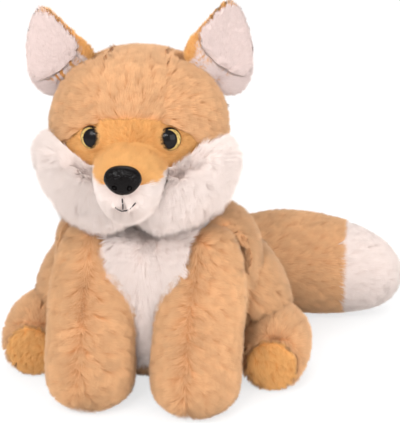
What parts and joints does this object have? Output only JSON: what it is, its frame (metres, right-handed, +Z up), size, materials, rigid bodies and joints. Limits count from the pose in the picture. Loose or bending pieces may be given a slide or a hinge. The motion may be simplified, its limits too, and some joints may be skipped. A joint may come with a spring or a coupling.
{
  "type": "plush fox",
  "caption": "Seated stuffed fox with a bushy tail, upright ears and a ruffed face, sewn from pile cloth over soft stuffing, resting on a flat seat.",
  "frame": {"origin": "on the floor under the middle of the body's seat", "axes": "+Z up, -Y the way the fox faces, +X the fox's own left, where its tail lies"},
  "size_m": [0.2404, 0.2137, 0.2241],
  "materials": {
    "tan_pile": "long soft pile",
    "orange_pile": "short dense pile",
    "white_pile": "long soft pile",
    "lining_pile": "smooth short pile",
    "stuffing": "polyester fibre",
    "bean_cloth": "woven",
    "eye_plastic": "gloss",
    "nose_plastic": "satin",
    "washer_plastic": "moulded",
    "thread": "embroidery thread"
  },
  "bodies": {
    "torso": {"body_skin": "tan_pile", "bib": "white_pile", "body_stuffing": "stuffing", "bean_bag": "bean_cloth", "haunch_left": "tan_pile", "haunch_right": "tan_pile", "haunch_stuffing_left": "stuffing", "haunch_stuffing_right": "stuffing"},
    "neck": {"neck_skin": "tan_pile", "neck_stuffing": "stuffing"},
    "head": {"head_skin": "tan_pile", "forehead_panel": "tan_pile", "face_mask": "orange_pile", "head_stuffing": "stuffing", "cheek_left": "white_pile", "cheek_right": "white_pile", "snout_panel": "orange_pile", "chin_panel": "white_pile", "muzzle_stuffing": "stuffing", "nose": "nose_plastic", "nose_washer": "washer_plastic", "eye_left": "eye_plastic", "eye_right": "eye_plastic", "eye_washer_left": "washer_plastic", "eye_washer_right": "washer_plastic", "lip_stitch": "thread", "smile_stitch": "thread"},
    "left_ear": {"ear_left": "orange_pile", "ear_lining_left": "lining_pile"},
    "right_ear": {"ear_right": "orange_pile", "ear_lining_right": "lining_pile"},
    "left_front_leg": {"front_leg_left": "tan_pile", "front_leg_stuffing_left": "stuffing"},
    "right_front_leg": {"front_leg_right": "tan_pile", "front_leg_stuffing_right": "stuffing"},
    "left_hind_foot": {"hind_foot_left": "tan_pile", "hind_foot_stuffing_left": "stuffing", "sole_pad_left": "orange_pile"},
    "right_hind_foot": {"hind_foot_right": "tan_pile", "hind_foot_stuffing_right": "stuffing", "sole_pad_right": "orange_pile"},
    "tail": {"tail_sleeve": "tan_pile", "tail_tip": "white_pile", "tail_stuffing": "stuffing"}
  },
  "joints": [
    {"name": "neck_turn", "type": "hinge", "parent": "torso", "child": "neck", "pos_m": [-0.01, -0.005, 0.15], "axis": [0, 0, 1], "range_deg": [-20, 20], "stiffness_Nm_per_rad": 0.3},
    {"name": "head_nod", "type": "hinge", "parent": "neck", "child": "head", "pos_m": [-0.01, -0.005, 0.15], "axis": [0.9976, 0.0698, 0], "range_deg": [-10, 6], "stiffness_Nm_per_rad": 0.6},
    {"name": "left_ear_fold", "type": "hinge", "parent": "head", "child": "left_ear", "pos_m": [0.02984, 0.00581, 0.1825], "axis": [0.6885, 0.3358, -0.6428], "range_deg": [-20, 20], "stiffness_Nm_per_rad": 0.02},
    {"name": "right_ear_fold", "type": "hinge", "parent": "head", "child": "right_ear", "pos_m": [-0.05096, 0.00015, 0.1805], "axis": [0.7286, -0.2367, 0.6428], "range_deg": [-20, 20], "stiffness_Nm_per_rad": 0.02},
    {"name": "left_front_leg_swing", "type": "hinge", "parent": "torso", "child": "left_front_leg", "pos_m": [0.034, -0.031, 0.08], "axis": [-1, 0, 0], "range_deg": [0, 18], "stiffness_Nm_per_rad": 0.15},
    {"name": "right_front_leg_swing", "type": "hinge", "parent": "torso", "child": "right_front_leg", "pos_m": [-0.034, -0.031, 0.08], "axis": [-1, 0, 0], "range_deg": [0, 18], "stiffness_Nm_per_rad": 0.15},
    {"name": "left_hind_foot_splay", "type": "hinge", "parent": "torso", "child": "left_hind_foot", "pos_m": [0.0725, 0, 0.021], "axis": [0, 0, 1], "range_deg": [0, 30], "stiffness_Nm_per_rad": 0.1},
    {"name": "right_hind_foot_splay", "type": "hinge", "parent": "torso", "child": "right_hind_foot", "pos_m": [-0.0725, 0, 0.021], "axis": [0, 0, -1], "range_deg": [0, 30], "stiffness_Nm_per_rad": 0.1},
    {"name": "tail_swing", "type": "hinge", "parent": "torso", "child": "tail", "pos_m": [0.013, 0.052, 0.0335], "axis": [0, 0, 1], "range_deg": [0, 50], "stiffness_Nm_per_rad": 0.05}
  ]
}
